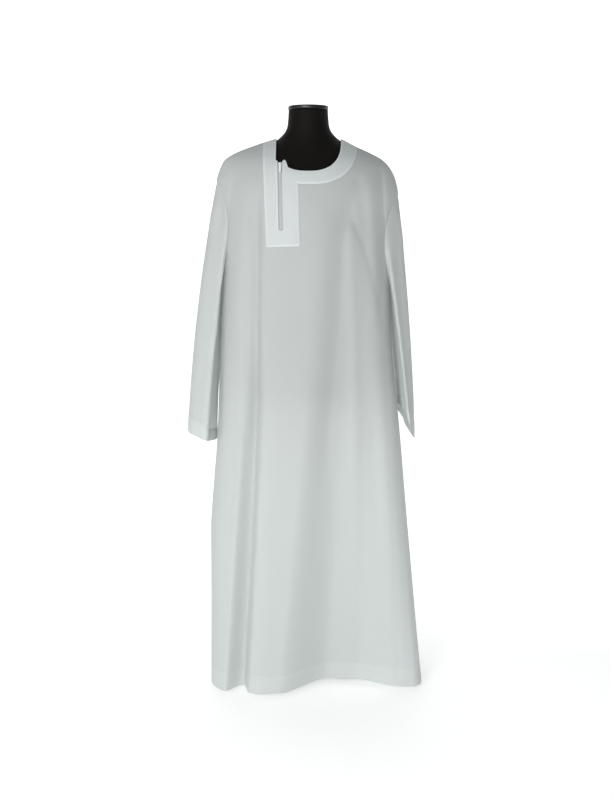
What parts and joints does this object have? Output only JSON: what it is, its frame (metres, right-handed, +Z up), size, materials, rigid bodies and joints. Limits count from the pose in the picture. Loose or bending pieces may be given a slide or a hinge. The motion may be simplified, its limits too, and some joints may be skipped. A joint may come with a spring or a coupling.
{
  "type": "alb robe on dress form",
  "caption": "Ankle-length white alb with a round neck, a band and a side placket with a zip, long straight sleeves and a soft flared skirt, worn by a plain black dress form on a stand.",
  "frame": {"origin": "on the floor, under the middle of the stand's pole, at the centre of the hub's flat underside", "axes": "+Z is up, the robe's front faces -Y, and the wearer's right sleeve is at -X"},
  "size_m": [0.6654, 0.3949, 1.6123],
  "materials": {
    "cloth": "thin white plain weave, matt",
    "facing_cloth": "the same cloth in two layers, pressed flat",
    "zip_tape": "white woven tape",
    "zip_plastic": "white nylon coil",
    "zip_metal": "white enamelled metal",
    "form_cover": "smooth black stretch cover",
    "stand_steel": "black powder coat"
  },
  "bodies": {
    "robe_on_form": {"front_panel": "cloth", "back_panel": "cloth", "front_facing": "facing_cloth", "back_facing": "facing_cloth", "right_sleeve": "cloth", "left_sleeve": "cloth", "zip_tape": "zip_tape", "zip_chain": "zip_plastic", "zip_slider": "zip_metal", "form_torso": "form_cover", "form_cap": "form_cover", "stand_pole": "stand_steel", "stand_hub": "stand_steel", "stand_leg_1": "stand_steel", "stand_leg_2": "stand_steel", "stand_leg_3": "stand_steel"},
    "pull_tab": {"zip_pull": "zip_metal"}
  },
  "joints": [
    {"name": "pull_tab_hinge", "type": "hinge", "parent": "robe_on_form", "child": "pull_tab", "pos_m": [-0.07677, -0.10222, 1.45741], "axis": [-1, 0, 0], "range_deg": [0, 150]}
  ]
}
